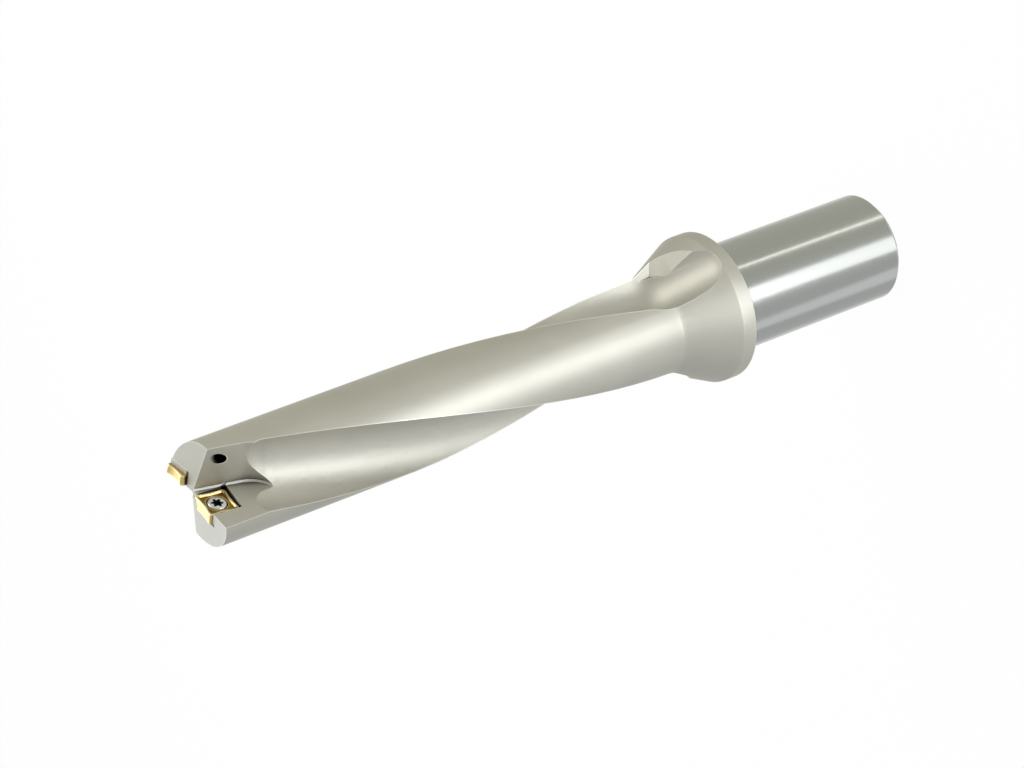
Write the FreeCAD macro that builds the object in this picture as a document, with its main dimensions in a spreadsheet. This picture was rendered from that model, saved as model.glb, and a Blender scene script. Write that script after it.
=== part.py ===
# Indexable drill: a steel body with a cylindrical shank and two helical flutes, which clamps
# two square carbide inserts with one screw each. Millimetres and degrees.
# The frame stands on the shank end: +Z runs from the shank to the tip, on the drill's axis.

import FreeCAD, Part
import math
import os
import Sketcher

doc = FreeCAD.newDocument("indexable_drill")

# Driving dimensions
sizes = doc.addObject("Spreadsheet::Sheet", "sizes")
driving_values = {
    # turned blank
    "shank_diameter": 32,
    "shank_length": 60,
    "shank_end_chamfer": 1.5,
    "collar_diameter": 44,
    "collar_width": 4.6,
    "collar_rear_chamfer": 0.4,
    "collar_edge_radius": 1.5,
    "cone_length": 15.8,
    "cone_root_radius": 6,
    "body_diameter": 29,
    "fluted_length": 150,
    "tip_stock": 4.5,
    # clamping flat on the shank
    "flat_depth": 2,
    "flat_length": 44,
    "flat_collar_distance": 6,
    # coolant inlet and passages
    "inlet_diameter": 11.8,
    "inlet_depth": 15,
    "inlet_chamfer": 1,
    "feed_diameter": 8,
    "feed_depth": 44,
    "passage_diameter": 3.2,
    "passage_radius": 9.5,
    "passage_angle": 95.7,
    "passage_tip_distance": 12,
    "passage_slope": 17,
    "outlet_diameter": 3.4,
    "outlet_length": 15,
    "peripheral_outlet_azimuth": -103.4,
    "peripheral_outlet_slope": 37.7,
    "central_outlet_azimuth": -131,
    "central_outlet_slope": 54,
    # helical flutes
    "flute_lead": 405,
    "flute_angle": 5.7,
    "flute_ball_diameter": 20.1,
    "core_diameter": 8.8,
    "flute_start_distance": 14.1,
    "flute_start_radius": 14.2,
    "heel_wall_angle": 42,
    "heel_wall_radius": 13.3,
    "heel_wall_phase": 47.9,
    # run-out at the collar: the round tool leaves the helix on a straight slope,
    # and a sloping end wall closes the heel side
    "runout_start_distance": 3,
    "runout_length": 16.1,
    "runout_bearing": -48.5,
    "runout_angle": 53.2,
    "end_wall_distance": 1.5,
    "end_wall_phase": -157.8,
    "end_wall_tilt": 31.9,
    # open front of each flute: seat plane and wall of a straight slot
    "central_seat_angle": -46,
    "peripheral_seat_angle": 142.5,
    "central_wall_offset": -2.0,
    "peripheral_wall_offset": 2.9,
    "slot_wall_slope": 12.4,
    "slot_wall_lean": 4.8,
    "slot_end_distance": 18,
    "slot_end_radius": 9.8,
    "slot_corner_chamfer": 0.5,
    # front faces behind the cutting edges
    "central_face_height": 3.0,
    "central_face_relief": 6.3,
    "peripheral_face_height": 2.6,
    "peripheral_face_relief": 10.2,
    # square inserts
    "insert_side": 9.1,
    "insert_thickness": 3.97,
    "insert_nose_radius": 1,
    "insert_clearance_angle": 11,
    "insert_rim_width": 0.95,
    "insert_groove_depth": 0.3,
    "insert_hole_diameter": 4.1,
    "insert_seat_diameter": 5.9,
    "insert_scallop_depth": 0.35,
    "insert_scallop_radius": 19,
    "seat_cone_angle": 60,
    "pocket_gap": 0.1,
    "pocket_relief_diameter": 1.6,
    "central_insert_angle": -49.2,
    "central_insert_tilt": 4.2,
    "central_insert_rake": 5,
    "central_insert_reach": 3.89,
    "central_insert_drop": 0.35,
    "central_insert_setback": 1.03,
    "peripheral_insert_angle": 142.8,
    "peripheral_insert_tilt": -3,
    "peripheral_insert_rake": -4,
    "peripheral_insert_reach": 10.25,
    "peripheral_insert_drop": 0.2,
    "peripheral_insert_setback": 0.7,
    # clamping screws
    "screw_head_diameter": 5.2,
    "screw_sink": 0.35,
    "screw_diameter": 3.4,
    "screw_grip": 4.2,
    "screw_end_room": 0.4,
    "screw_fit_gap": 0.05,
    "socket_core_diameter": 2.0,
    "socket_lobe_diameter": 0.8,
    "socket_depth": 1.3,
}
for row, (name, value) in enumerate(driving_values.items(), start=1):
    cell = "A%d" % row
    sizes.set(cell, str(value))
    sizes.setAlias(cell, name)
doc.recompute()


def size(name):
    return float(sizes.get(name))


def turn(axis, angle):
    return "create(<<rotation>>; create(<<vector>>; %s); %s)" % (axis, angle)


def place(vector, *turns):
    rotation = " * ".join(turns) if turns else turn("0; 0; 1", "0")
    return "create(<<placement>>; create(<<vector>>; %s); %s)" % (vector, rotation)


def joined(*placements):
    return " * ".join(placements)


def cells(text):
    # @name stands for the cell of that name
    return text.replace("@", "sizes.")


# Heights along the axis. Distances along the flutes are measured back from the front height,
# where the middle of the front faces lies.
cone_height = cells("(@shank_length + @collar_width + @cone_length)")
front_height = cells("(@shank_length + @collar_width + @cone_length + @fluted_length)")
flute_radius = cells("((@core_diameter + @flute_ball_diameter) / 2)")
flute_end = cells("(@fluted_length - @runout_start_distance)")
collar_distance = cells("(@fluted_length + @cone_length)")


def flute_turn(distance, phase):
    # Angle about the axis of the flute's middle at a distance from the front height
    return cells("(@flute_angle + %s - 360 * %s / @flute_lead)" % (phase, distance))


def helix_turn(distance, angle):
    return cells("(%s - 360 * %s / @flute_lead)" % (angle, distance))


def at_distance(distance, angle, radius="0"):
    # Placement on the drill's axis, turned to an angle, then moved out to a radius
    height = "%s - %s" % (front_height, distance)
    return joined(place("0; 0; " + height, turn("0; 0; 1", angle)), place("%s; 0; 0" % radius))


def part(kind, label, **bindings):
    item = doc.addObject("Part::" + kind, label)
    for name, expression in bindings.items():
        item.setExpression(name, cells(expression))
    return item


def fused(label, pieces):
    item = doc.addObject("Part::MultiFuse", label)
    item.Shapes = pieces
    return item


def cut(label, base, tool):
    item = doc.addObject("Part::Cut", label)
    item.Base = base
    item.Tool = tool
    return item


def plane_of(body, role):
    for feature in body.Origin.OriginFeatures:
        if feature.Role == role:
            return feature
    raise ValueError(role)


def polygon(sketch, corners):
    # Closed outline whose corners are set by expressions of x and y
    count = len(corners)
    for index in range(count):
        start = FreeCAD.Vector(index, index * index, 0)
        following = (index + 1) % count
        end = FreeCAD.Vector(following, following * following, 0)
        sketch.addGeometry(Part.LineSegment(start, end), False)
    for index in range(count):
        sketch.addConstraint(Sketcher.Constraint("Coincident", index, 2, (index + 1) % count, 1))
    for index, (x, y) in enumerate(corners):
        for kind, expression in (("DistanceX", x), ("DistanceY", y)):
            number = sketch.addConstraint(Sketcher.Constraint(kind, -1, 1, index, 1, 1.0))
            sketch.setExpression("Constraints[%d]" % number, cells(expression))


def body_sketch(body, label, role):
    sketch = body.newObject("Sketcher::SketchObject", label)
    sketch.AttachmentSupport = [(plane_of(body, role), "")]
    sketch.MapMode = "FlatFace"
    return sketch


def edges_where(shape, test):
    names = []
    for number, edge in enumerate(shape.Edges, start=1):
        if test(edge):
            names.append("Edge%d" % number)
    return names


def circle_edge(radius, height):
    def test(edge):
        curve = edge.Curve
        if not hasattr(curve, "Radius") or not edge.isClosed():
            return False
        return abs(curve.Radius - radius) < 0.001 and abs(curve.Center.z - height) < 0.001
    return test


def dress(body, kind, label, base, test, **bindings):
    doc.recompute()
    item = body.newObject("PartDesign::" + kind, label)
    item.Base = (base, edges_where(base.Shape, test))
    for name, expression in bindings.items():
        item.setExpression(name, cells(expression))
    return item


# Turned blank: shank, collar with its cone, and the bar that the flutes are milled in
blank = doc.addObject("PartDesign::Body", "blank")
blank_outline = body_sketch(blank, "blank_outline", "XZ_Plane")
polygon(blank_outline, [
    ("0", "0"),
    ("@shank_diameter / 2 - @shank_end_chamfer", "0"),
    ("@shank_diameter / 2", "@shank_end_chamfer"),
    ("@shank_diameter / 2", "@shank_length"),
    ("@collar_diameter / 2 - @collar_rear_chamfer", "@shank_length"),
    ("@collar_diameter / 2", "@shank_length + @collar_rear_chamfer"),
    ("@collar_diameter / 2", "@shank_length + @collar_width"),
    ("@body_diameter / 2", cone_height),
    ("@body_diameter / 2", front_height + " + @tip_stock"),
    ("0", front_height + " + @tip_stock"),
])
turned = blank.newObject("PartDesign::Revolution", "turned_blank")
turned.Profile = blank_outline
turned.ReferenceAxis = (blank_outline, ["V_Axis"])
turned.Angle = 360
doc.recompute()

collar_front = size("shank_length") + size("collar_width")
cone_front = collar_front + size("cone_length")
body_radius = size("body_diameter") / 2
collar_radius = size("collar_diameter") / 2
collar_edge = dress(blank, "Fillet", "collar_edge", turned,
                    circle_edge(collar_radius, collar_front), Radius="@collar_edge_radius")
cone_root = dress(blank, "Fillet", "cone_root", collar_edge,
                  circle_edge(body_radius, cone_front), Radius="@cone_root_radius")
blank.Tip = cone_root
doc.recompute()


# One helical flute with its ball-ended start and its run-out at the collar
def helical_sweep(label, section, radius, start, end, angle):
    spine = part("Helix", label + "_helix", Pitch="@flute_lead", Radius=radius,
                 Height="%s - %s" % (end, start))
    spine.setExpression("Placement", at_distance(end, helix_turn(end, angle)))
    sweep = doc.addObject("Part::Sweep", label)
    sweep.Sections = [section]
    sweep.Spine = (spine, ["Edge1"])
    sweep.Solid = True
    sweep.Frenet = True
    return sweep


def across_helix(radius):
    # Turns a section from the drill's cross plane to the plane across a helix of this radius
    return turn("1; 0; 0", cells("-atan(2 * pi * %s / @flute_lead)" % radius))


def helical_channel(label, diameter, radius, start, end, angle):
    section = part("Circle", label + "_section", Radius=diameter + " / 2")
    section.setExpression("Placement", joined(
        at_distance(end, helix_turn(end, angle), radius),
        place("0; 0; 0", across_helix(radius))))
    return helical_sweep(label, section, radius, start, end, angle)


def flute(prefix, phase):
    angle = cells("(@flute_angle + %s)" % phase)
    start = cells("@flute_start_distance")
    ball = cells("@flute_ball_diameter")
    channel = helical_channel(prefix + "_channel", ball, flute_radius, start, flute_end, angle)
    start_ball = part("Sphere", prefix + "_start_ball", Radius="@flute_ball_diameter / 2")
    start_ball.setExpression("Placement", at_distance(
        start, flute_turn(start, phase), cells("@flute_start_radius")))
    end_ball = part("Sphere", prefix + "_end_ball", Radius="@flute_ball_diameter / 2")
    end_ball.setExpression("Placement", at_distance(flute_end, flute_turn(flute_end, phase), flute_radius))

    # Flat wall on the heel side, outside the round channel, up to the sloping end wall
    wall_section = doc.addObject("Sketcher::SketchObject", prefix + "_heel_section")
    wall_section.setExpression("Placement", at_distance(
        collar_distance, helix_turn(collar_distance, phase)))
    foot = cells("@heel_wall_radius * %s(@heel_wall_phase)")
    reach = cells("@collar_diameter / 2")
    polygon(wall_section, [
        (foot % "cos", foot % "sin"),
        ("%s + %s * cos(@heel_wall_angle)" % (foot % "cos", reach),
         "%s + %s * sin(@heel_wall_angle)" % (foot % "sin", reach)),
        ("1.6 * %s * cos(@flute_angle)" % reach, "1.6 * %s * sin(@flute_angle)" % reach),
        ("%s * cos(@flute_angle)" % flute_radius, "%s * sin(@flute_angle)" % flute_radius),
    ])
    wall = helical_sweep(prefix + "_heel_wall", wall_section, flute_radius, start, collar_distance, phase)
    end_wall = part("Box", prefix + "_end_wall", Length="2 * @collar_diameter", Width="2 * @collar_diameter",
                    Height="@collar_diameter")
    end_wall.setExpression("Placement", joined(
        at_distance(cells("(@fluted_length + @end_wall_distance)"), cells("(@end_wall_phase + %s)" % phase)),
        place("0; 0; 0", turn("0; 1; 0", cells("@end_wall_tilt"))),
        place(cells("-1 * @collar_diameter; -1 * @collar_diameter; -1 * @collar_diameter"))))
    heel_wall = cut(prefix + "_heel_milled", wall, end_wall)

    # Run-out: the tool's straight way out of the cone, and its round end where it left
    way_out = joined(
        at_distance(flute_end, flute_turn(flute_end, phase), flute_radius),
        place("0; 0; 0", turn("0; 0; 1", cells("@runout_bearing")),
              turn("0; 1; 0", cells("(180 - @runout_angle)"))))
    runout = part("Cylinder", prefix + "_runout", Radius="@flute_ball_diameter / 2", Height="@runout_length")
    runout.setExpression("Placement", way_out)
    runout_ball = part("Sphere", prefix + "_runout_ball", Radius="@flute_ball_diameter / 2")
    runout_ball.setExpression("Placement", joined(way_out, place(cells("0; 0; @runout_length"))))
    return [channel, start_ball, end_ball, heel_wall, runout, runout_ball]


flutes = []
for prefix, phase in (("flute_a", "0"), ("flute_b", "180")):
    flutes.extend(flute(prefix, phase))
doc.recompute()


# Open front of a flute: a straight slot with the seat plane as its floor
def seat_frame(angle):
    # X runs outwards along the seat plane, Y towards the shank and Z out of the plane
    return place("0; 0; " + front_height, turn("0; 0; 1", angle), turn("1; 0; 0", "-90"))


def front_slot(prefix):
    slot = doc.addObject("PartDesign::Body", prefix + "_slot")
    slot.setExpression("Placement", seat_frame(cells("@%s_seat_angle" % prefix)))
    outline = body_sketch(slot, prefix + "_slot_outline", "XY_Plane")
    wall_x = "@" + prefix + "_wall_offset + tan(@slot_wall_slope) * %s"
    front = "(-2 * @tip_stock)"
    polygon(outline, [
        (wall_x % front, front),
        ("@collar_diameter", front),
        ("@collar_diameter", "@slot_end_distance"),
        (wall_x % "@slot_end_distance", "@slot_end_distance"),
    ])
    milled = slot.newObject("PartDesign::Pad", prefix + "_slot_pad")
    milled.Profile = outline
    milled.setExpression("Length", cells("@collar_diameter / 2"))
    milled.setExpression("TaperAngle", cells("-1 * @slot_wall_lean"))
    doc.recompute()
    slope = math.tan(math.radians(size("slot_wall_slope")))
    end_x = size(prefix + "_wall_offset") + slope * size("slot_end_distance")

    def inner_corner(edge):
        box = edge.BoundBox
        near_corner = abs(box.XMin - end_x) < 0.01 and abs(box.YMax - size("slot_end_distance")) < 0.01
        return box.ZLength > 1 and near_corner

    run_out = dress(slot, "Fillet", prefix + "_slot_end", milled, inner_corner, Radius="@slot_end_radius")
    doc.recompute()

    def floor_edge(edge):
        box = edge.BoundBox
        return box.ZMax < 0.01 and box.XMax < end_x + size("slot_end_radius")

    corner = dress(slot, "Chamfer", prefix + "_slot_corner", run_out, floor_edge, Size="@slot_corner_chamfer")
    slot.Tip = corner
    return slot


# Front face of a land: falls back with the distance below its seat plane
def front_face(prefix):
    face = part("Box", prefix + "_front_face", Length="@collar_diameter", Width="@collar_diameter",
                Height="@collar_diameter")
    relief = cells("@%s_face_relief" % prefix)
    height = cells("(-1 * @%s_face_height)" % prefix)
    face.setExpression("Placement", joined(
        seat_frame(cells("@%s_seat_angle" % prefix)),
        place(cells("-1 * @core_diameter / 2; %s; 0" % height), turn("1; 0; 0", relief)),
        place(cells("0; -1 * @collar_diameter; @core_diameter / 2 - @collar_diameter"))))
    return face


# Pocket of an insert. Its frame has the middle of the insert's top face as origin, X outwards,
# Y towards the shank and Z out of the rake face.
def insert_frame(prefix):
    centre = "@{0}_insert_reach; @{0}_insert_setback; -1 * @{0}_insert_drop".format(prefix)
    turns = [turn("1; 0; 0", cells("-1 * @%s_insert_rake" % prefix)),
             turn("0; 0; 1", cells("-1 * @%s_insert_tilt" % prefix))]
    return joined(seat_frame(cells("@%s_insert_angle" % prefix)), place(cells(centre), *turns))


bottom_half = cells("(@insert_side / 2 - @insert_thickness * tan(@insert_clearance_angle))")


def pocket(prefix, outer_x):
    body = doc.addObject("PartDesign::Body", prefix + "_pocket")
    floor = place(cells("0; 0; -1 * @insert_thickness"))
    body.setExpression("Placement", joined(insert_frame(prefix), floor))
    outline = body_sketch(body, prefix + "_pocket_floor", "XY_Plane")
    wall = "(%s + @pocket_gap)" % bottom_half
    polygon(outline, [
        ("-1 * " + wall, "-1 * @insert_side"),
        (outer_x or wall, "-1 * @insert_side"),
        (outer_x or wall, wall),
        ("-1 * " + wall, wall),
    ])
    milled = body.newObject("PartDesign::Pad", prefix + "_pocket_pad")
    milled.Profile = outline
    milled.setExpression("Length", cells("1.5 * @insert_thickness"))
    milled.setExpression("TaperAngle", cells("@insert_clearance_angle"))
    body.Tip = milled

    corners = ["-1"] if outer_x else ["-1", "1"]
    pieces = [body]
    for number, side in enumerate(corners, start=1):
        relief = part("Cylinder", "%s_corner_relief_%d" % (prefix, number),
                      Radius="@pocket_relief_diameter / 2", Height="1.5 * @insert_thickness")
        corner = cells("{0} * (@insert_side - @insert_nose_radius) / 2; "
                       "(@insert_side - @insert_nose_radius) / 2; -1 * @insert_thickness".format(side))
        relief.setExpression("Placement", joined(insert_frame(prefix), place(corner)))
        pieces.append(relief)

    hole = part("Cylinder", prefix + "_screw_hole", Radius="@screw_diameter / 2 + @screw_fit_gap",
                Height="@screw_grip + @screw_end_room + @insert_thickness / 2")
    foot = cells("0; 0; -1 * (@insert_thickness + @screw_grip + @screw_end_room)")
    hole.setExpression("Placement", joined(insert_frame(prefix), place(foot)))
    pieces.append(hole)
    return pieces


# Coolant: inlet and feed bore from the shank end, one passage through each land
coolant_bore = doc.addObject("PartDesign::Body", "coolant_bore")
bore_outline = body_sketch(coolant_bore, "coolant_bore_outline", "XZ_Plane")
polygon(bore_outline, [
    ("0", "0"),
    ("@inlet_diameter / 2 + @inlet_chamfer", "0"),
    ("@inlet_diameter / 2", "@inlet_chamfer"),
    ("@inlet_diameter / 2", "@inlet_depth"),
    ("@feed_diameter / 2", "@inlet_depth + (@inlet_diameter - @feed_diameter) / 2"),
    ("@feed_diameter / 2", "@feed_depth"),
    ("0", "@feed_depth + @feed_diameter / 4"),
])
bored = coolant_bore.newObject("PartDesign::Revolution", "bored_inlet")
bored.Profile = bore_outline
bored.ReferenceAxis = (bore_outline, ["V_Axis"])
bored.Angle = 360


def passage(prefix, phase):
    angle = cells("(@passage_angle + %s)" % phase)
    tip = cells("@passage_tip_distance")
    run = helical_channel(prefix + "_passage", cells("@passage_diameter"), cells("@passage_radius"),
                          tip, collar_distance, angle)
    root = part("Cylinder", prefix + "_passage_root", Radius="@passage_diameter / 2",
                Height="@passage_radius / sin(@passage_slope)")
    root.setExpression("Placement", joined(
        at_distance(collar_distance, helix_turn(collar_distance, angle), cells("@passage_radius")),
        place("0; 0; 0", turn("0; 1; 0", cells("@passage_slope - 180")))))
    outlet = part("Cylinder", prefix + "_outlet", Radius="@outlet_diameter / 2", Height="@outlet_length")
    outlet.setExpression("Placement", joined(
        at_distance(tip, helix_turn(tip, angle), cells("@passage_radius")),
        place("0; 0; 0", turn("0; 0; 1", cells("@%s_outlet_azimuth" % prefix)),
              turn("0; 1; 0", cells("@%s_outlet_slope" % prefix)))))
    joint = part("Sphere", prefix + "_passage_joint", Radius="@passage_diameter / 2")
    joint.setExpression("Placement", at_distance(tip, helix_turn(tip, angle), cells("@passage_radius")))
    return [run, root, outlet, joint]


# Clamping flat on the shank, on the side of the outer insert
clamping_flat = part("Box", "clamping_flat", Length="@shank_diameter", Width="@shank_diameter",
                     Height="@flat_length")
clamping_flat.setExpression("Placement", joined(
    place("0; 0; 0", turn("0; 0; 1", cells("@peripheral_seat_angle"))),
    place(cells("@shank_diameter / 2 - @flat_depth; -1 * @shank_diameter / 2; "
                "@shank_length - @flat_collar_distance - @flat_length"))))

# Drill body
removed = flutes + [coolant_bore, clamping_flat]
for prefix, phase, outer_x in (("central", "180", ""), ("peripheral", "0", "@collar_diameter / 2")):
    removed.append(front_slot(prefix))
    removed.append(front_face(prefix))
    removed.extend(pocket(prefix, outer_x))
    removed.extend(passage(prefix, phase))
doc.recompute()
drill_body = cut("drill_body", blank, fused("removed_stock", removed))
doc.recompute()


# Square insert with raised cutting rims around a sunken face and a countersunk hole
def insert(prefix):
    body = doc.addObject("PartDesign::Body", prefix + "_insert")
    body.setExpression("Placement", insert_frame(prefix))
    half = "@insert_side / 2"
    top = body_sketch(body, prefix + "_insert_top", "XY_Plane")
    polygon(top, [("-" + half, "-" + half), (half, "-" + half), (half, half), ("-" + half, half)])
    block = body.newObject("PartDesign::Pad", prefix + "_insert_block")
    block.Profile = top
    block.Reversed = True
    block.setExpression("Length", cells("@insert_thickness"))
    block.setExpression("TaperAngle", cells("-1 * @insert_clearance_angle"))

    def corner(edge):
        return edge.BoundBox.ZLength > 0.9 * size("insert_thickness")

    noses = dress(body, "Fillet", prefix + "_insert_noses", block, corner, Radius="@insert_nose_radius")

    scallop_outline = body_sketch(body, prefix + "_scallop_outline", "XY_Plane")
    scallop_outline.addGeometry(Part.Circle(FreeCAD.Vector(9, 0, 0), FreeCAD.Vector(0, 0, 1), 3), False)
    away = "@insert_side / 2 + @insert_scallop_radius - @insert_scallop_depth"
    for kind, target, expression in (("DistanceX", (0, 3), away), ("DistanceY", (0, 3), "0")):
        number = scallop_outline.addConstraint(Sketcher.Constraint(kind, -1, 1, target[0], target[1], 1.0))
        scallop_outline.setExpression("Constraints[%d]" % number, cells(expression))
    number = scallop_outline.addConstraint(Sketcher.Constraint("Radius", 0, 1.0))
    scallop_outline.setExpression("Constraints[%d]" % number, cells("@insert_scallop_radius"))
    scallop = body.newObject("PartDesign::Pocket", prefix + "_scallop")
    scallop.Profile = scallop_outline
    scallop.setExpression("Length", cells("@insert_thickness"))
    doc.recompute()
    scallops = body.newObject("PartDesign::PolarPattern", prefix + "_scallops")
    scallops.Originals = [scallop]
    scallops.Axis = (scallop_outline, ["N_Axis"])
    scallops.Angle = 360
    scallops.Occurrences = 4

    inner = "(@insert_side / 2 - @insert_rim_width)"
    face_outline = body_sketch(body, prefix + "_face_outline", "XY_Plane")
    polygon(face_outline, [("-1 * " + inner, "-1 * " + inner), (inner, "-1 * " + inner),
                           (inner, inner), ("-1 * " + inner, inner)])
    face = body.newObject("PartDesign::Pocket", prefix + "_sunken_face")
    face.Profile = face_outline
    face.setExpression("Length", cells("@insert_groove_depth"))

    hole_outline = body_sketch(body, prefix + "_hole_outline", "XZ_Plane")
    seat_depth = "(@insert_seat_diameter - @insert_hole_diameter) / 2 / tan(@seat_cone_angle / 2)"
    polygon(hole_outline, [
        ("0", "@insert_groove_depth"),
        ("@insert_seat_diameter / 2", "@insert_groove_depth"),
        ("@insert_seat_diameter / 2", "-1 * @insert_groove_depth"),
        ("@insert_hole_diameter / 2", "-1 * @insert_groove_depth - " + seat_depth),
        ("@insert_hole_diameter / 2", "-2 * @insert_thickness"),
        ("0", "-2 * @insert_thickness"),
    ])
    hole = body.newObject("PartDesign::Groove", prefix + "_countersunk_hole")
    hole.Profile = hole_outline
    hole.ReferenceAxis = (hole_outline, ["V_Axis"])
    hole.Angle = 360
    body.Tip = hole
    return body


# Countersunk clamping screw with a six-lobe socket. Its frame lies in the top of the head.
def screw(prefix):
    body = doc.addObject("PartDesign::Body", prefix + "_insert_screw")
    body.setExpression("Placement", joined(
        insert_frame(prefix), place(cells("0; 0; -1 * @screw_sink"))))
    outline = body_sketch(body, prefix + "_screw_outline", "XZ_Plane")
    rim = ("(@insert_groove_depth + (@insert_seat_diameter - @screw_head_diameter) / 2"
           " / tan(@seat_cone_angle / 2) - @screw_sink - @screw_fit_gap)")
    cone = "(@screw_head_diameter - @screw_diameter) / 2 / tan(@seat_cone_angle / 2)"
    length = "(@insert_thickness + @screw_grip - @screw_sink)"
    polygon(outline, [
        ("0", "0"),
        ("@screw_head_diameter / 2", "0"),
        ("@screw_head_diameter / 2", "-1 * " + rim),
        ("@screw_diameter / 2", "-1 * " + rim + " - " + cone),
        ("@screw_diameter / 2", "-1 * " + length),
        ("0", "-1 * " + length),
    ])
    shape = body.newObject("PartDesign::Revolution", prefix + "_screw_blank")
    shape.Profile = outline
    shape.ReferenceAxis = (outline, ["V_Axis"])
    shape.Angle = 360
    for label, across, offset in (("core", "@socket_core_diameter", "0"),
                                  ("lobe", "@socket_lobe_diameter", "@socket_core_diameter / 2")):
        circle = body_sketch(body, "%s_socket_%s_outline" % (prefix, label), "XY_Plane")
        circle.addGeometry(Part.Circle(FreeCAD.Vector(1, 0, 0), FreeCAD.Vector(0, 0, 1), 3), False)
        for kind, expression in (("DistanceX", offset), ("DistanceY", "0")):
            number = circle.addConstraint(Sketcher.Constraint(kind, -1, 1, 0, 3, 1.0))
            circle.setExpression("Constraints[%d]" % number, cells(expression))
        number = circle.addConstraint(Sketcher.Constraint("Radius", 0, 1.0))
        circle.setExpression("Constraints[%d]" % number, cells(across + " / 2"))
        socket = body.newObject("PartDesign::Pocket", "%s_socket_%s" % (prefix, label))
        socket.Profile = circle
        socket.setExpression("Length", cells("@socket_depth"))
    doc.recompute()
    lobes = body.newObject("PartDesign::PolarPattern", prefix + "_socket_lobes")
    lobes.Originals = [socket]
    lobes.Axis = (circle, ["N_Axis"])
    lobes.Angle = 360
    lobes.Occurrences = 6
    body.Tip = lobes
    return body


parts = [drill_body]
for prefix in ("central", "peripheral"):
    parts.append(insert(prefix))
    parts.append(screw(prefix))
doc.recompute()

for item in doc.Objects:
    if "Invalid" in item.State or "Error" in item.State:
        raise RuntimeError("%s did not build" % item.Label)
os.makedirs("parts", exist_ok=True)
for item in parts:
    if item.Shape.isNull() or not item.Shape.isValid():
        raise RuntimeError("%s has no valid shape" % item.Label)
    item.Shape.exportStep("parts/%s.step" % item.Label)
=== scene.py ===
import math
import bpy
import bmesh
from mathutils import Matrix, Vector


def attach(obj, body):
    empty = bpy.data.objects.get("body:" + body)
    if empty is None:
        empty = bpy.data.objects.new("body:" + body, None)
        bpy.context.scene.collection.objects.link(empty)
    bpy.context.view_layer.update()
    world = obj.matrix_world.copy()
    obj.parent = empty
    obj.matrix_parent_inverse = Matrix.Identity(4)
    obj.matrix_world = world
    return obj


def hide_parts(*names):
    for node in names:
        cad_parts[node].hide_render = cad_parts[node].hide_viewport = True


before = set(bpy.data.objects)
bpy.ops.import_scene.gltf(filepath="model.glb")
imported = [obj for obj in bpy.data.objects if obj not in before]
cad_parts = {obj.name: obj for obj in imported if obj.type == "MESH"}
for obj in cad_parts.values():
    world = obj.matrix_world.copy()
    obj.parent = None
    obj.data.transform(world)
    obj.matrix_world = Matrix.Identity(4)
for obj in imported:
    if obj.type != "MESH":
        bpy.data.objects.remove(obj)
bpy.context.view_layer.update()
bpy.ops.object.select_all(action="DESELECT")
scene = bpy.context.scene
scene.view_settings.view_transform = "Standard"
print("frame loaded")


def linearColour(hexText):
    # sRGB hex text to the linear colour, with alpha, that Blender's sockets take
    channels = [int(hexText[start:start + 2], 16) / 255 for start in (1, 3, 5)]
    return tuple(value / 12.92 if value <= 0.04045 else ((value + 0.055) / 1.055) ** 2.4
                 for value in channels) + (1,)


def addNode(tree, kind, settings=None, links=None):
    # settings are the node's own or those of its sockets, links name a socket and where it comes from.
    # Sockets that share a name go by number. Map Range: 0 value, 1 and 2 the range it comes in, 3 and 4
    # the results at its ends. Mix: 0 share, 2 and 3 two numbers, 6 and 7 two colours; output 2 is the colour.
    node = tree.nodes.new(kind)
    for key, value in (settings or {}).items():
        if isinstance(key, str) and hasattr(node, key):
            setattr(node, key, value)
        else:
            node.inputs[key].default_value = value
    for socket, source in (links or {}).items():
        tree.links.new(source, node.inputs[socket])
    return node


def newMaterial(name):
    material = bpy.data.materials.new(name)
    material.use_nodes = True
    tree = material.node_tree
    return material, tree, tree.nodes["Principled BSDF"]


def turned(degrees, axis):
    return Matrix.Rotation(math.radians(degrees), 4, axis)


# Seats of the two inserts, in degrees and metres. angle is the way round the drill's axis to the land
# that carries the insert. In the seat's own frame X points outwards, Y towards the shank and Z out of
# the rake face: reach, setback and drop (downwards) are the insert's place in it, and tilt, rake and
# roll turn the insert about Z, X and Y.
seats = {
    "frontHeight": 0.2304,          # height of the seat frames' origin on the drill's axis
    "central": {"angle": -49.2, "tilt": 4.2, "rake": 5, "reach": 0.00389, "drop": 0.00035, "setback": 0.00103,
                "roll": 3.2},
    "peripheral": {"angle": 142.8, "tilt": -3, "rake": -4, "reach": 0.01025, "drop": 0.0002, "setback": 0.0007,
                   "roll": 0},
}


def landFrame(side):
    upright = Matrix.Translation((0, 0, seats["frontHeight"]))
    return upright @ (turned(seats[side]["angle"], "Z") @ turned(-90, "X"))


def seatFrame(side):
    seat = seats[side]
    middle = Matrix.Translation((seat["reach"], seat["setback"], -seat["drop"]))
    return landFrame(side) @ (middle @ turned(-seat["rake"], "X") @ turned(-seat["tilt"], "Z")
                              @ turned(-seat["roll"], "Y"))


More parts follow.
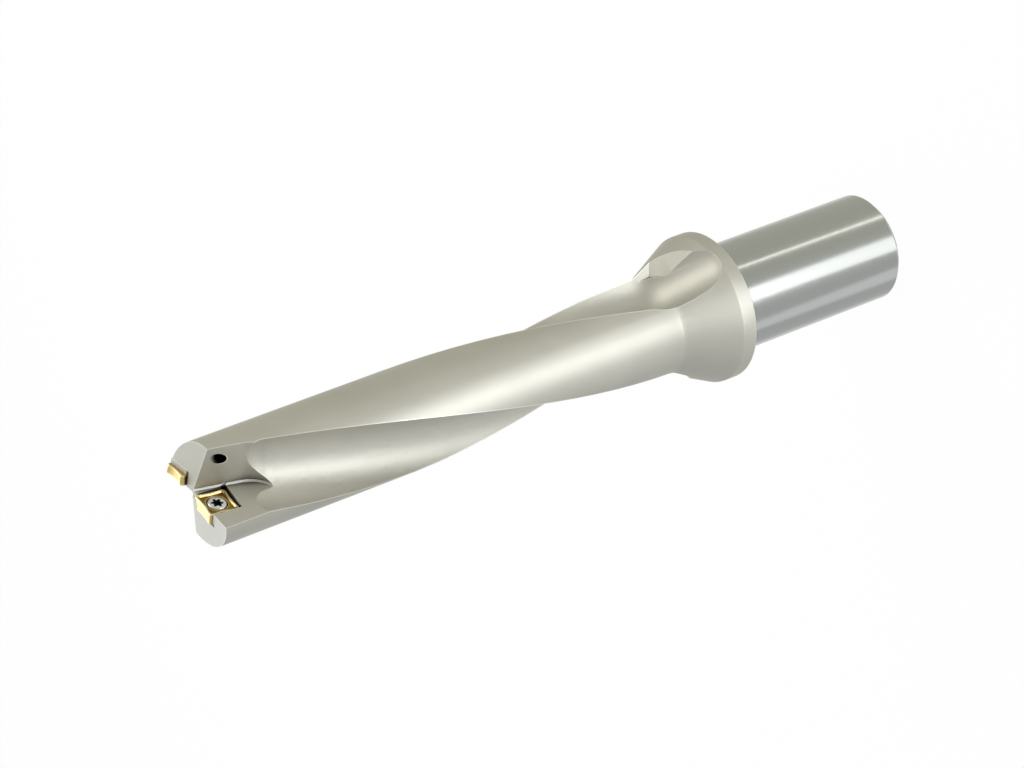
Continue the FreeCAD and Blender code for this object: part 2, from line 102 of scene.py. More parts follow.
# Drill body: hardened steel under a satin chemical nickel plating, with a cylindrically ground shank
bodyFinish = {
    "platedColour": "#BDBAB0",      # warm grey with a trace of olive, as nickel-phosphorus plating has
    "platedRoughness": 0.56,
    "platedSpread": 0.05,           # how far the roughness strays to either side
    "cloudSize": 0.018182,          # faint clouds in the plating
    "cloudTones": (0.96, 1.03),     # their darkest and lightest tone
    "edgeHighlightColour": "#F1F1EB",        # painted highlight: outer edges are lightened, standing in for the glint of their rounding
    "edgeHighlightWidth": 0.00032,
    "edgeHighlightShare": 0.6,
    "edgeHighlightRange": (0.6, 0.92),       # share of rays that stay in the metal, at the full painted highlight and at none
    "paintedShadeColour": "#0D0D0B",     # painted shade darkens holes, corners and narrow gaps towards near black
    "paintedShadeReach": 0.006,
    "paintedShadeRange": (0.45, 0.64),   # share of rays that get out, at the full painted shade and at none
    "pocketShade": 0.85,
    "groundColour": "#B3B4B0",      # bare ground steel, a little greener and cooler
    "groundRoughness": 0.2,
    "groundSpread": 0.04,
    "grindingPitch": 0.0007,        # grinding marks run round the shank, drawn coarser than real
    "grindingStretch": 0.02,        # a mark's width as a share of its length
    "blastGrain": 0.00035,          # fine grain of the blasting below the plating, drawn coarser than real
    "relief": 0.06,
    "reliefHeight": 0.0001,
    "shankEnd": 0.0600,
    "endChamfer": 0.0016,
    "colourMargin": 0.00002,        # keeps the ground finish off the collar's rear face
}
occlusionSamples = 8

# Space of an insert's pocket below the seat plane: half its size, and how far it lies back and down
pocketBox = {"half": (0.0049, 0.0041, 0.0021), "back": 0.0008, "down": 0.0001}


def insidePocket(tree, place, side):
    # 1 on the walls and floor of an insert's pocket, which lie below the seat plane round the insert; painted shade
    # goes there
    seat, half = seats[side], pocketBox["half"]
    box = (landFrame(side) @ Matrix.Translation((seat["reach"], seat["setback"], -half[2] - pocketBox["down"]))
           @ turned(-seat["tilt"], "Z") @ Matrix.Translation((0, pocketBox["back"], 0)))
    local = addNode(tree, "ShaderNodeMapping",
                    {"vector_type": "TEXTURE", "Location": box.to_translation(), "Rotation": box.to_euler(),
                     "Scale": half}, {"Vector": place.outputs["Object"]})
    size = addNode(tree, "ShaderNodeVectorMath", {"operation": "ABSOLUTE"}, {0: local.outputs[0]})
    split = addNode(tree, "ShaderNodeSeparateXYZ", links={0: size.outputs[0]})
    wide = addNode(tree, "ShaderNodeMath", {"operation": "MAXIMUM"}, {0: split.outputs[0], 1: split.outputs[1]})
    most = addNode(tree, "ShaderNodeMath", {"operation": "MAXIMUM"}, {0: wide.outputs[0], 1: split.outputs[2]})
    return addNode(tree, "ShaderNodeMath", {"operation": "LESS_THAN", 1: 1}, {0: most.outputs[0]}).outputs[0]


def bodyMaterial(name, edgeHighlight, pockets):
    settings = bodyFinish
    samples = occlusionSamples
    material, tree, surface = newMaterial(name)
    place = addNode(tree, "ShaderNodeTexCoord")
    split = addNode(tree, "ShaderNodeSeparateXYZ", links={0: place.outputs["Object"]})

    # The ground part reaches from the end chamfer to the collar's rear face
    shankTop = settings["shankEnd"] - settings["colourMargin"]
    belowCollar = addNode(tree, "ShaderNodeMath", {"operation": "LESS_THAN", 1: shankTop}, {0: split.outputs["Z"]})
    aboveChamfer = addNode(tree, "ShaderNodeMath", {"operation": "GREATER_THAN", 1: settings["endChamfer"]},
                           {0: split.outputs["Z"]})
    ground = addNode(tree, "ShaderNodeMath", {"operation": "MULTIPLY"},
                     {0: belowCollar.outputs[0], 1: aboveChamfer.outputs[0]})

    grain = addNode(tree, "ShaderNodeTexNoise", {"Scale": 1 / settings["blastGrain"], "Detail": 3},
                    {"Vector": place.outputs["Object"]})
    cloud = addNode(tree, "ShaderNodeTexNoise", {"Scale": 1 / settings["cloudSize"], "Detail": 2},
                    {"Vector": place.outputs["Object"]})
    along = settings["grindingStretch"]
    stretch = addNode(tree, "ShaderNodeMapping", {"Scale": (along, along, 1)}, {"Vector": place.outputs["Object"]})
    rings = addNode(tree, "ShaderNodeTexNoise", {"Scale": 1 / settings["grindingPitch"], "Detail": 2},
                    {"Vector": stretch.outputs[0]})

    darkest, lightest = settings["cloudTones"]
    cloudTone = addNode(tree, "ShaderNodeMapRange", {1: 0.3, 2: 0.7, 3: darkest, 4: lightest},
                        {0: cloud.outputs[0]})
    plated = addNode(tree, "ShaderNodeMix",
                     {"data_type": "RGBA", "blend_type": "MULTIPLY", 0: 1,
                      6: linearColour(settings["platedColour"])},
                     {7: cloudTone.outputs[0]})
    finish = addNode(tree, "ShaderNodeMix", {"data_type": "RGBA", 7: linearColour(settings["groundColour"])},
                     {0: ground.outputs[0], 6: plated.outputs[2]})

    # Rays cast into the metal come out again only near an outer edge, and rays cast outwards are
    # stopped only in holes and narrow gaps
    # Painted highlight: near outer edges the colour turns to the light edge colour
    thinMetal = addNode(tree, "ShaderNodeAmbientOcclusion",
                        {"inside": True, "only_local": True, "samples": samples, "Distance": settings["edgeHighlightWidth"]})
    start, end = settings["edgeHighlightRange"]
    edgeHighlightMask = addNode(tree, "ShaderNodeMapRange", {1: start, 2: end, 3: edgeHighlight, 4: 0}, {0: thinMetal.outputs["AO"]})
    edgeHighlighted = addNode(tree, "ShaderNodeMix", {"data_type": "RGBA", 7: linearColour(settings["edgeHighlightColour"])},
                        {0: edgeHighlightMask.outputs[0], 6: finish.outputs[2]})
    # Painted shade: holes, narrow gaps and corners turn towards the near-black shade colour
    opening = addNode(tree, "ShaderNodeAmbientOcclusion",
                      {"samples": samples, "Distance": settings["paintedShadeReach"]})
    start, end = settings["paintedShadeRange"]
    shadeShare = addNode(tree, "ShaderNodeMapRange", {1: start, 2: end, 3: 1, 4: 0}, {0: opening.outputs["AO"]})
    # Painted shade also fills the pockets' gaps round the inserts
    for side in pockets:
        pocket = addNode(tree, "ShaderNodeMath", {"operation": "MULTIPLY", 1: settings["pocketShade"]},
                         {0: insidePocket(tree, place, side)})
        shadeShare = addNode(tree, "ShaderNodeMath", {"operation": "MAXIMUM"}, {0: shadeShare.outputs[0], 1: pocket.outputs[0]})
    colour = addNode(tree, "ShaderNodeMix", {"data_type": "RGBA", 7: linearColour(settings["paintedShadeColour"])},
                     {0: shadeShare.outputs[0], 6: edgeHighlighted.outputs[2]})
    tree.links.new(colour.outputs[2], surface.inputs["Base Color"])

    rough, stray = settings["platedRoughness"], settings["platedSpread"]
    matt = addNode(tree, "ShaderNodeMapRange", {3: rough - stray, 4: rough + stray}, {0: grain.outputs[0]})
    rough, stray = settings["groundRoughness"], settings["groundSpread"]
    smooth = addNode(tree, "ShaderNodeMapRange", {3: rough - stray, 4: rough + stray}, {0: rings.outputs[0]})
    roughness = addNode(tree, "ShaderNodeMix", {"data_type": "FLOAT"},
                        {0: ground.outputs[0], 2: matt.outputs[0], 3: smooth.outputs[0]})
    tree.links.new(roughness.outputs[0], surface.inputs["Roughness"])

    height = addNode(tree, "ShaderNodeMix", {"data_type": "FLOAT"},
                     {0: ground.outputs[0], 2: grain.outputs[0], 3: rings.outputs[0]})
    relief = addNode(tree, "ShaderNodeBump", {"Strength": settings["relief"], "Distance": settings["reliefHeight"]},
                     {"Height": height.outputs[0]})
    tree.links.new(relief.outputs[0], surface.inputs["Normal"])
    surface.inputs["Metallic"].default_value = 1
    return material


# Inserts: cemented carbide with a titanium nitride coating, which gives the satin gold
insertFinish = {
    "goldColour": "#D8BE80",
    "pressedColour": "#CFB26E",
    "darkerColour": "#927638",        # painted shade: a darker copy of the gold for the sunken face
    "shadedPressedColour": "#80652B",
    "rimHighlightColour": "#FFF3CC",         # painted highlight: rims and edges are lightened to a pale gold
    "rimWidth": 0.0006,
    "rimRange": (0.55, 0.97),       # share of rays that stay in the metal, at the full painted highlight and at none
    "hollowShadeColour": "#6E5620",      # painted shade in grooves and on the sunken face
    "hollowReach": 0.0016,
    "hollowRange": (0.5, 0.97),     # share of rays that get out, at the full painted shade and at none
    "cover": 0.9,                   # how much of the gold the painted highlight or the painted shade covers at most
    "roughness": 0.3,
    "pressGrain": 0.00025,          # grain of the pressed powder, drawn coarser than real
    "relief": 0.05,
    "reliefHeight": 0.0001,
}


def insertMaterial(name, goldColour, pressedColour):
    settings = insertFinish
    material, tree, surface = newMaterial(name)
    place = addNode(tree, "ShaderNodeTexCoord")
    grain = addNode(tree, "ShaderNodeTexNoise", {"Scale": 1 / settings["pressGrain"]},
                    {"Vector": place.outputs["Object"]})
    tone = addNode(tree, "ShaderNodeMix",
                   {"data_type": "RGBA", 6: linearColour(pressedColour), 7: linearColour(goldColour)},
                   {0: grain.outputs[0]})
    samples, cover = occlusionSamples, settings["cover"]
    # Painted highlight: near rims and edges the gold turns pale
    thinMetal = addNode(tree, "ShaderNodeAmbientOcclusion",
                        {"inside": True, "only_local": True, "samples": samples, "Distance": settings["rimWidth"]})
    start, end = settings["rimRange"]
    rimHighlightShare = addNode(tree, "ShaderNodeMapRange", {1: start, 2: end, 3: cover, 4: 0}, {0: thinMetal.outputs["AO"]})
    bright = addNode(tree, "ShaderNodeMix", {"data_type": "RGBA", 7: linearColour(settings["rimHighlightColour"])},
                     {0: rimHighlightShare.outputs[0], 6: tone.outputs[2]})
    # Painted shade: grooves, the sunken face and the ring round the screw darken
    opening = addNode(tree, "ShaderNodeAmbientOcclusion", {"samples": samples, "Distance": settings["hollowReach"]})
    start, end = settings["hollowRange"]
    hollowShadeShare = addNode(tree, "ShaderNodeMapRange", {1: start, 2: end, 3: cover, 4: 0}, {0: opening.outputs["AO"]})
    colour = addNode(tree, "ShaderNodeMix", {"data_type": "RGBA", 7: linearColour(settings["hollowShadeColour"])},
                     {0: hollowShadeShare.outputs[0], 6: bright.outputs[2]})
    tree.links.new(colour.outputs[2], surface.inputs["Base Color"])
    relief = addNode(tree, "ShaderNodeBump", {"Strength": settings["relief"], "Distance": settings["reliefHeight"]},
                     {"Height": grain.outputs[0]})
    tree.links.new(relief.outputs[0], surface.inputs["Normal"])
    surface.inputs["Metallic"].default_value = 1
    surface.inputs["Roughness"].default_value = settings["roughness"]
    return material


# Screws: bright machined steel, with faint blotches as wide as the marks of turning
screwFinish = {"colour": "#DCDCD8", "darkerColour": "#CFCFCB", "roughness": 0.3, "turningPitch": 0.0002}


def screwMaterial():
    settings = screwFinish
    material, tree, surface = newMaterial("brightTurnedSteel")
    place = addNode(tree, "ShaderNodeTexCoord")
    marks = addNode(tree, "ShaderNodeTexNoise", {"Scale": 1 / settings["turningPitch"]},
                    {"Vector": place.outputs["Object"]})
    tone = addNode(tree, "ShaderNodeMix",
                   {"data_type": "RGBA", 6: linearColour(settings["darkerColour"]),
                    7: linearColour(settings["colour"])},
                   {0: marks.outputs[0]})
    tree.links.new(tone.outputs[2], surface.inputs["Base Color"])
    surface.inputs["Metallic"].default_value = 1
    surface.inputs["Roughness"].default_value = settings["roughness"]
    return material


# Inside of the screw sockets: painted shade, near black with darker patches, so it hardly shines
socketShadeFinish = {"colour": "#1C1C1A", "darkerShadeColour": "#0B0B0A", "roughness": 0.5, "shadePatch": 0.0004}


def socketShadeMaterial():
    settings = socketShadeFinish
    material, tree, surface = newMaterial("paintedSocketShade")
    place = addNode(tree, "ShaderNodeTexCoord")
    shadeSpots = addNode(tree, "ShaderNodeTexNoise", {"Scale": 1 / settings["shadePatch"]},
                   {"Vector": place.outputs["Object"]})
    tone = addNode(tree, "ShaderNodeMix",
                   {"data_type": "RGBA", 6: linearColour(settings["darkerShadeColour"]),
                    7: linearColour(settings["colour"])},
                   {0: shadeSpots.outputs[0]})
    tree.links.new(tone.outputs[2], surface.inputs["Base Color"])
    surface.inputs["Roughness"].default_value = settings["roughness"]
    return material


def dress(piece, *materials):
    piece.data.materials.clear()
    for material in materials:
        piece.data.materials.append(material)


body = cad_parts["drill_body"]
# the body's plating gets the painted edge highlight and the painted pocket shade; the seat plate's copy gets
# neither
plating = bodyMaterial("nickelPlatedSteelWithGroundShank", bodyFinish["edgeHighlightShare"], ("central", "peripheral"))
flatPlating = bodyMaterial("nickelPlatedSteel", 0, ())
dress(body, plating)
gold = insertMaterial("titaniumNitrideOnCarbide", insertFinish["goldColour"], insertFinish["pressedColour"])
# darker copy of the gold: painted shade for the sunken face
shadedGold = insertMaterial("titaniumNitrideWithPaintedShade", insertFinish["darkerColour"], insertFinish["shadedPressedColour"])
steel = screwMaterial()
socketShade = socketShadeMaterial()
print("materials done")


def takeUp(piece):
    # the only selected object, and the active one
    bpy.ops.object.select_all(action="DESELECT")
    piece.select_set(True)
    bpy.context.view_layer.objects.active = piece


def settle(piece, side):
    # puts a finished piece into its seat, with its place in its mesh
    takeUp(piece)
    piece.matrix_world = seatFrame(side)
    bpy.ops.object.transform_apply(location=True, rotation=True, scale=True)


def pick(piece, kind, wanted):
    # selects the vertices, edges or faces of a piece that pass a test, in edit mode
    bpy.context.view_layer.objects.active = piece
    bpy.ops.object.mode_set(mode="EDIT")
    bpy.ops.mesh.select_mode(type=kind)
    bpy.ops.mesh.select_all(action="DESELECT")
    shape = bmesh.from_edit_mesh(piece.data)
    for item in {"VERT": shape.verts, "EDGE": shape.edges, "FACE": shape.faces}[kind]:
        if wanted(item):
            item.select_set(True)
    shape.select_flush_mode()
    bmesh.update_edit_mesh(piece.data)


def cutAway(piece, cutter):
    cut = piece.modifiers.new("cut", "BOOLEAN")
    cut.operation = "DIFFERENCE"
    cut.solver = "EXACT"
    cut.object = cutter
    bpy.context.view_layer.objects.active = piece
    bpy.ops.object.modifier_apply(modifier=cut.name)
    bpy.data.objects.remove(cutter)


def blockAt(name, middle, size):
    bpy.ops.mesh.primitive_cube_add(size=1, location=middle)
    block = bpy.context.object
    block.name = name
    block.scale = size
    bpy.ops.object.transform_apply(location=True, rotation=True, scale=True)
    return block


def cylinderAt(radius, low, high, across=(0, 0), vertices=64):
    bpy.ops.mesh.primitive_cylinder_add(vertices=vertices, radius=radius, depth=high - low,
                                        location=(across[0], across[1], (low + high) / 2))
    bpy.ops.object.transform_apply(location=True, rotation=True, scale=True)
    return bpy.context.object


def giveMaterial(piece, index, wanted):
    # the faces that pass a test get the piece's material of that number
    pick(piece, "FACE", wanted)
    piece.active_material_index = index
    bpy.ops.object.material_slot_assign()
    bpy.ops.object.mode_set(mode="OBJECT")


def finishShape(piece, angle):
    pick(piece, "FACE", lambda face: True)
    bpy.ops.mesh.normals_make_consistent(inside=False)
    bpy.ops.object.mode_set(mode="OBJECT")
    takeUp(piece)
    bpy.ops.object.shade_smooth_by_angle(angle=math.radians(angle))


# Insert: square with drawn-in sides, a raised rim all round that gets a painted highlight, a chip groove and a
# sunken face
insertShape = {
    "side": 0.0091,
    "thickness": 0.00397,
    "clearance": 11,                # degrees by which the sides lean in below the cutting edge
    "noseRadius": 0.0009,
    "noseSteps": 8,
    "scallopDepth": 0.00030,        # how far a side is drawn in at its middle
    "scallopRadius": 0.0208,
    "scallopSteps": 240,
    # each step of the rim: its outline's share of the insert's, and its height
    "rim": ((0.988, 0.00003), (0.970, 0.00006), (0.945, 0.00007), (0.915, 0.00005), (0.885, -0.00002),
            (0.855, -0.00013), (0.830, -0.00027), (0.810, -0.00038), (0.795, -0.00044), (0.775, -0.00046),
            (0.745, -0.00042)),
    "faceDepth": 0.00042,           # the sunken face below the cutting corners
    "edgeLand": 0.00005,
    "hole": 0.0041,
    "screwSeat": 0.0059,            # width of the countersink at the sunken face
    "sinkAngle": 30,                # half the angle of the countersink
    "shadedBelow": 0.0002,            # what lies deeper, inside this step of the rim, gets the darker copy with painted shade
    "shadedStep": -3,
    "smoothAngle": 24,
}


def modelInsert(name, thickness):
    shape = insertShape
    half = shape["side"] / 2
    piece = blockAt(name, (0, 0, -thickness / 2 - shape["edgeLand"] / 2),
                    (shape["side"], shape["side"], thickness - shape["edgeLand"]))
    pick(piece, "EDGE", lambda edge: abs(edge.verts[0].co.z - edge.verts[1].co.z) > thickness / 2)
    bpy.ops.mesh.bevel(offset=shape["noseRadius"], segments=shape["noseSteps"], affect="EDGES")
    bpy.ops.object.mode_set(mode="OBJECT")
    away = half + shape["scallopRadius"] - shape["scallopDepth"]
    for across in ((away, 0), (0, away), (-away, 0), (0, -away)):
        cutAway(piece, cylinderAt(shape["scallopRadius"], -2 * thickness, thickness, across, shape["scallopSteps"]))

    # Clearance: the foot is smaller than the cutting outline
    foot = 1 - thickness * math.tan(math.radians(shape["clearance"])) / half
    pick(piece, "VERT", lambda vert: vert.co.z < -thickness / 2)
    bpy.ops.transform.resize(value=(foot, foot, 1), center_override=(0, 0, 0))
    bpy.ops.object.mode_set(mode="OBJECT")

    # Rim and sunken face, drawn inwards step by step from the cutting edge
    pick(piece, "FACE", lambda face: face.normal.z > 0.9)
    size, height = 1, -shape["edgeLand"]
    for nextSize, nextHeight in shape["rim"]:
        bpy.ops.mesh.extrude_region_move(TRANSFORM_OT_translate={"value": (0, 0, nextHeight - height)})
        bpy.ops.transform.resize(value=(nextSize / size, nextSize / size, 1), center_override=(0, 0, 0))
        size, height = nextSize, nextHeight
    bpy.ops.object.mode_set(mode="OBJECT")

    # Countersunk screw hole: the cone goes on a little past the bore, and starts just above the face
    bore, mouth = shape["hole"] / 2, shape["screwSeat"] / 2
    cutAway(piece, cylinderAt(bore, -2 * thickness, thickness))
    slope = math.tan(math.radians(shape["sinkAngle"]))
    overlap, past = 0.000001, 0.2
    bpy.ops.mesh.primitive_cone_add(vertices=64, radius1=bore * (1 - past), radius2=mouth,
                                    depth=(mouth - bore) / slope + bore * past / slope, location=(0, 0, 0))
    cone = bpy.context.object
    cone.location.z = overlap - shape["faceDepth"] - cone.dimensions.z / 2
    bpy.ops.object.transform_apply(location=True, rotation=True, scale=True)
    cutAway(piece, cone)

    dress(piece, gold, shadedGold)
    # Painted shade: the sunken face gets the darker copy of the gold
    inner = half * shape["rim"][shape["shadedStep"]][0]
    giveMaterial(piece, 1, lambda face: face.normal.z > 0.5 and face.calc_center_median().z < -shape["shadedBelow"]
                 and max(abs(face.calc_center_median().x), abs(face.calc_center_median().y)) < inner)
    finishShape(piece, shape["smoothAngle"])
    return piece


# Clamping screw: countersunk head with a rounded rim and a six-lobe socket
screwShape = {
    "head": 0.0052,
    "headAngle": 30,                # half the angle of the head's cone
    "shank": 0.0034,
    "sink": 0.00028,                # the head's top below the insert's cutting corners
    "cylinder": 0.0003,             # height of the head above its cone
    "length": 0.0078,
    "rimRound": 0.00028,
    "rimSteps": 4,
    "socketCore": 0.0024,
    "socketLobe": 0.00085,
    "lobes": 6,
    "lobeReach": 0.0001,            # how far a lobe's middle lies outside the core
    "socketDepth": 0.0014,
    "blackReach": 0.0003,           # faces this far outside the lobes still belong to the socket
    "turned": 12,                   # degrees by which the tightened screw's socket stands askew
    "smoothAngle": 40,
}


def modelScrew(name):
    shape = screwShape
    top, margin = -shape["sink"], 0.00001
    piece = cylinderAt(shape["head"] / 2, top - shape["cylinder"], top)
    piece.name = name
    pick(piece, "EDGE", lambda edge: min(vert.co.z for vert in edge.verts) > top - margin)
    bpy.ops.mesh.bevel(offset=shape["rimRound"], segments=shape["rimSteps"], affect="EDGES")
    bpy.ops.object.mode_set(mode="OBJECT")
    thin = shape["shank"] / shape["head"]
    cone = (shape["head"] - shape["shank"]) / 2 / math.tan(math.radians(shape["headAngle"]))
    stem = shape["length"] - shape["cylinder"] - cone
    pick(piece, "FACE", lambda face: face.normal.z < -0.9)
    bpy.ops.mesh.extrude_region_move(TRANSFORM_OT_translate={"value": (0, 0, -cone)})
    bpy.ops.transform.resize(value=(thin, thin, 1), center_override=(0, 0, 0))
    bpy.ops.mesh.extrude_region_move(TRANSFORM_OT_translate={"value": (0, 0, -stem)})
    bpy.ops.object.mode_set(mode="OBJECT")

    # Socket: a core and its lobes, all the way down to its floor and cut from above the head
    floor, above = top - shape["socketDepth"], 0.001
    core, lobe = shape["socketCore"] / 2, shape["socketLobe"] / 2
    reach = core + shape["lobeReach"]
    cutAway(piece, cylinderAt(core, floor, above, vertices=48))
    for step in range(shape["lobes"]):
        turn = math.radians(360 / shape["lobes"] * step + shape["turned"])
        cutAway(piece, cylinderAt(lobe, floor, above, (reach * math.cos(turn), reach * math.sin(turn)), 24))

    dress(piece, steel, socketShade)
    # Painted shade: the socket's faces get the near-black material
    outside = core + lobe + shape["blackReach"]
    giveMaterial(piece, 1, lambda face: face.calc_center_median().xy.length < outside and face.normal.z > -0.5
                 and floor - margin < face.calc_center_median().z < top - margin)
    finishShape(piece, shape["smoothAngle"])
    return piece


# Seat plate: a thin plate of the body's own finish under the outer insert, flush with the land's front
plateShape = {
    "thickness": 0.0015,
    "half": 0.00383,                # half its width; it reaches back as far and is cut off in front
    "hole": 0.0036,
    "front": (0, 0, 0.2330),        # a point of the land's front face, and where that face looks
    "frontNormal": (0.1078, 0.1405, 0.9842),
    "smoothAngle": 30,
}


def modelSeatPlate(name):
    shape = plateShape
    low, half = -insertShape["thickness"], shape["half"]
    piece = blockAt(name, (0, -half / 2, low + shape["thickness"] / 2), (2 * half, 3 * half, shape["thickness"]))
    cutAway(piece, cylinderAt(shape["hole"] / 2, 2 * low, 0, vertices=48))
    dress(piece, flatPlating)
    settle(piece, "peripheral")
    pick(piece, "FACE", lambda face: True)
    bpy.ops.mesh.bisect(plane_co=shape["front"], plane_no=shape["frontNormal"], use_fill=True, clear_outer=True)
    bpy.ops.object.mode_set(mode="OBJECT")
    finishShape(piece, shape["smoothAngle"])
    return piece


# The body: its mesh is merged in a copy, so that tangent faces shade without a seam
bodyShape = {"mergeWithin": 0.000002, "smoothAngle": 14}


def refineBody(name):
    piece = body.copy()
    piece.data = body.data.copy()
    piece.name = name
    scene.collection.objects.link(piece)
    pick(piece, "FACE", lambda face: True)
    bpy.ops.mesh.remove_doubles(threshold=bodyShape["mergeWithin"])
    bpy.ops.mesh.customdata_custom_splitnormals_clear()
    bpy.ops.object.mode_set(mode="OBJECT")
    takeUp(piece)
    bpy.ops.object.shade_smooth_by_angle(angle=math.radians(bodyShape["smoothAngle"]))
    even = piece.modifiers.new("even", "WEIGHTED_NORMAL")
    even.keep_sharp = True
    bpy.ops.object.modifier_apply(modifier=even.name)
    return piece


drill = refineBody("drillBodyDetail")
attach(drill, "root")
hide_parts("drill_body")
print("body done")

for side in ("central", "peripheral"):
    plated = side == "peripheral"         # only the outer insert lies on a seat plate
    thickness = insertShape["thickness"] - (plateShape["thickness"] if plated else 0)
    tip = modelInsert(side + "InsertDetail", thickness)
    settle(tip, side)
    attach(tip, "root")
    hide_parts(side + "_insert")
    screw = modelScrew(side + "ScrewDetail")
    settle(screw, side)
    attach(screw, "root")
    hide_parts(side + "_insert_screw")
    if plated:
        plate = modelSeatPlate("peripheralSeatPlate")
        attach(plate, "root")
print("inserts and screws done")


# Camera at the photograph's place, with the picture's right side and the way it looks as directions
# in the drill's frame; lens and sensor are in millimetres
view = {
    "place": (0.84824, -0.00141, 0.63052),
    "right": (0.47497, -0.35206, -0.80651),
    "ahead": (-0.86168, 0.0, -0.50745),
    "lens": 124.42,
    "sensor": 36,
    "farthest": 20,
}


def buildCamera():
    right = Vector(view["right"]).normalized()
    ahead = Vector(view["ahead"]).normalized()
    up = right.cross(ahead).normalized()
    turn = Matrix((right, up, -ahead)).transposed()
    bpy.ops.object.camera_add(location=view["place"])
    camera = bpy.context.object
    camera.rotation_euler = turn.to_euler()
    camera.data.lens = view["lens"]
    camera.data.sensor_width = view["sensor"]
    camera.data.clip_end = view["farthest"]
    scene.camera = camera


buildCamera()
print("camera done")

# Studio: pale floor below the shank's end, white surroundings and soft boxes beside the drill.
# Directions are azimuth and height angle in degrees, seen from the aim in the drill; a box's glow is
# its brightness, where white paper has 1.
studio = {
    "floorHalf": 2.5,
    "floorColour": "#F2F2F0",
    "floorRoughness": 0.9,
    "floorWhite": 0.97,             # share of plain white in what the camera sees of the floor
    "aim": (0, 0, 0.11),
    "roomLevel": 0.70,
    "backdropLevel": 1,
    "backdropFade": (0.80, 0.99),   # cosine to the camera's view where the change starts and ends
    "upperTint": "#F6F8EC",
    "lowerTint": "#F7FAFC",
    "tintFade": (-0.8, 0.8),        # Y of a direction at the lower tint and at the upper one
    "boxes": [
        {"name": "mainSoftBox", "azimuth": -15, "rise": -17, "distance": 0.6, "width": 0.28, "tall": 0.36,
         "glow": 6.4, "colour": "#F5F9FF"},
        {"name": "wideSoftBox", "azimuth": -42, "rise": -6, "distance": 0.7, "width": 0.90, "tall": 0.45,
         "glow": 0.3, "colour": "#F6FAFF"},
        {"name": "lowSoftBox", "azimuth": -14, "rise": -46, "distance": 0.6, "width": 0.24, "tall": 0.26,
         "glow": 1.4, "colour": "#F8FAFF"},
        {"name": "lineSoftBox", "azimuth": 49, "rise": -30.5, "distance": 0.6, "width": 0.03, "tall": 0.60,
         "glow": 2.8, "colour": "#FFFFFA"},
        {"name": "sideSoftBox", "azimuth": -82, "rise": -30.5, "distance": 0.6, "width": 0.20, "tall": 0.60,
         "glow": 0.4, "colour": "#F6FAFF"},
        {"name": "topSoftBox", "azimuth": 90, "rise": 42, "distance": 0.6, "width": 0.40, "tall": 0.40,
         "glow": 3.0, "colour": "#FFFFFF"},
        {"name": "tipSoftBox", "azimuth": 180, "rise": 30, "distance": 0.6, "width": 0.50, "tall": 0.40,
         "glow": 1.6, "colour": "#ECF2FF"},
    ],
}


def buildFloor():
    bpy.ops.mesh.primitive_plane_add(size=2 * studio["floorHalf"], location=(0, 0, 0))
    floor = bpy.context.object
    floor.name = "studioFloor"
    material, tree, surface = newMaterial("paleStudioFloor")
    surface.inputs["Base Color"].default_value = linearColour(studio["floorColour"])
    surface.inputs["Roughness"].default_value = studio["floorRoughness"]
    output = tree.nodes["Material Output"]
    rays = addNode(tree, "ShaderNodeLightPath")
    white = addNode(tree, "ShaderNodeEmission", {"Color": (1, 1, 1, 1), "Strength": 1})
    share = addNode(tree, "ShaderNodeMath", {"operation": "MULTIPLY", 1: studio["floorWhite"]},
                    {0: rays.outputs["Is Camera Ray"]})
    mixed = addNode(tree, "ShaderNodeMixShader",
                    links={0: share.outputs[0], 1: surface.outputs[0], 2: white.outputs[0]})
    tree.links.new(mixed.outputs[0], output.inputs["Surface"])
    floor.data.materials.append(material)
    floor.visible_glossy = False
    floor.visible_shadow = False


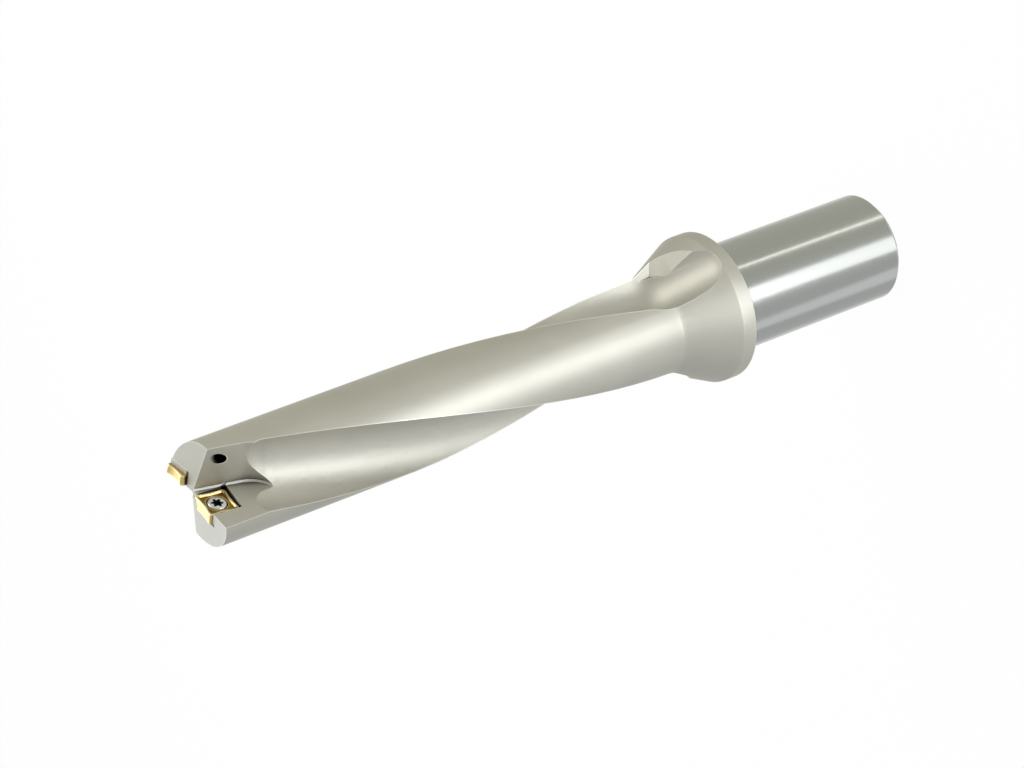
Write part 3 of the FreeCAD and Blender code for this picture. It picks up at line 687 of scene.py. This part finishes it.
def buildWorld():
    world = bpy.data.worlds.new("studioAir")
    scene.world = world
    world.use_nodes = True
    tree = world.node_tree
    air = tree.nodes["Background"]
    rays = addNode(tree, "ShaderNodeLightPath")
    look = addNode(tree, "ShaderNodeTexCoord")
    towardsBackdrop = addNode(tree, "ShaderNodeVectorMath", {"operation": "DOT_PRODUCT", 1: view["ahead"]},
                              {0: look.outputs["Generated"]})
    start, end = studio["backdropFade"]
    level = addNode(tree, "ShaderNodeMapRange",
                    {"interpolation_type": "SMOOTHSTEP", 1: start, 2: end, 3: studio["roomLevel"],
                     4: studio["backdropLevel"]},
                    {0: towardsBackdrop.outputs["Value"]})
    split = addNode(tree, "ShaderNodeSeparateXYZ", links={0: look.outputs["Generated"]})
    start, end = studio["tintFade"]
    side = addNode(tree, "ShaderNodeMapRange", {1: start, 2: end}, {0: split.outputs["Y"]})
    tint = addNode(tree, "ShaderNodeMix",
                   {"data_type": "RGBA", 6: linearColour(studio["lowerTint"]),
                    7: linearColour(studio["upperTint"])},
                   {0: side.outputs[0]})
    colour = addNode(tree, "ShaderNodeMix", {"data_type": "RGBA", 7: (1, 1, 1, 1)},
                     {0: rays.outputs["Is Camera Ray"], 6: tint.outputs[2]})
    strength = addNode(tree, "ShaderNodeMix", {"data_type": "FLOAT", 3: 1},
                       {0: rays.outputs["Is Camera Ray"], 2: level.outputs[0]})
    tree.links.new(colour.outputs[2], air.inputs["Color"])
    tree.links.new(strength.outputs[0], air.inputs["Strength"])


def softBox(settings):
    turn, rise = math.radians(settings["azimuth"]), math.radians(settings["rise"])
    away = Vector((math.cos(rise) * math.cos(turn), math.cos(rise) * math.sin(turn), math.sin(rise)))
    bpy.ops.object.light_add(type="AREA", location=Vector(studio["aim"]) + settings["distance"] * away)
    box = bpy.context.object
    box.name = settings["name"]
    box.data.shape = "RECTANGLE"
    box.data.size = settings["width"]
    box.data.size_y = settings["tall"]
    box.data.energy = settings["glow"] * math.pi * settings["width"] * settings["tall"]
    box.data.color = linearColour(settings["colour"])[:3]
    box.rotation_euler = (-away).to_track_quat("-Z", "Y").to_euler()
    box.visible_camera = False


buildFloor()
buildWorld()
for settings in studio["boxes"]:
    softBox(settings)
print("studio done")
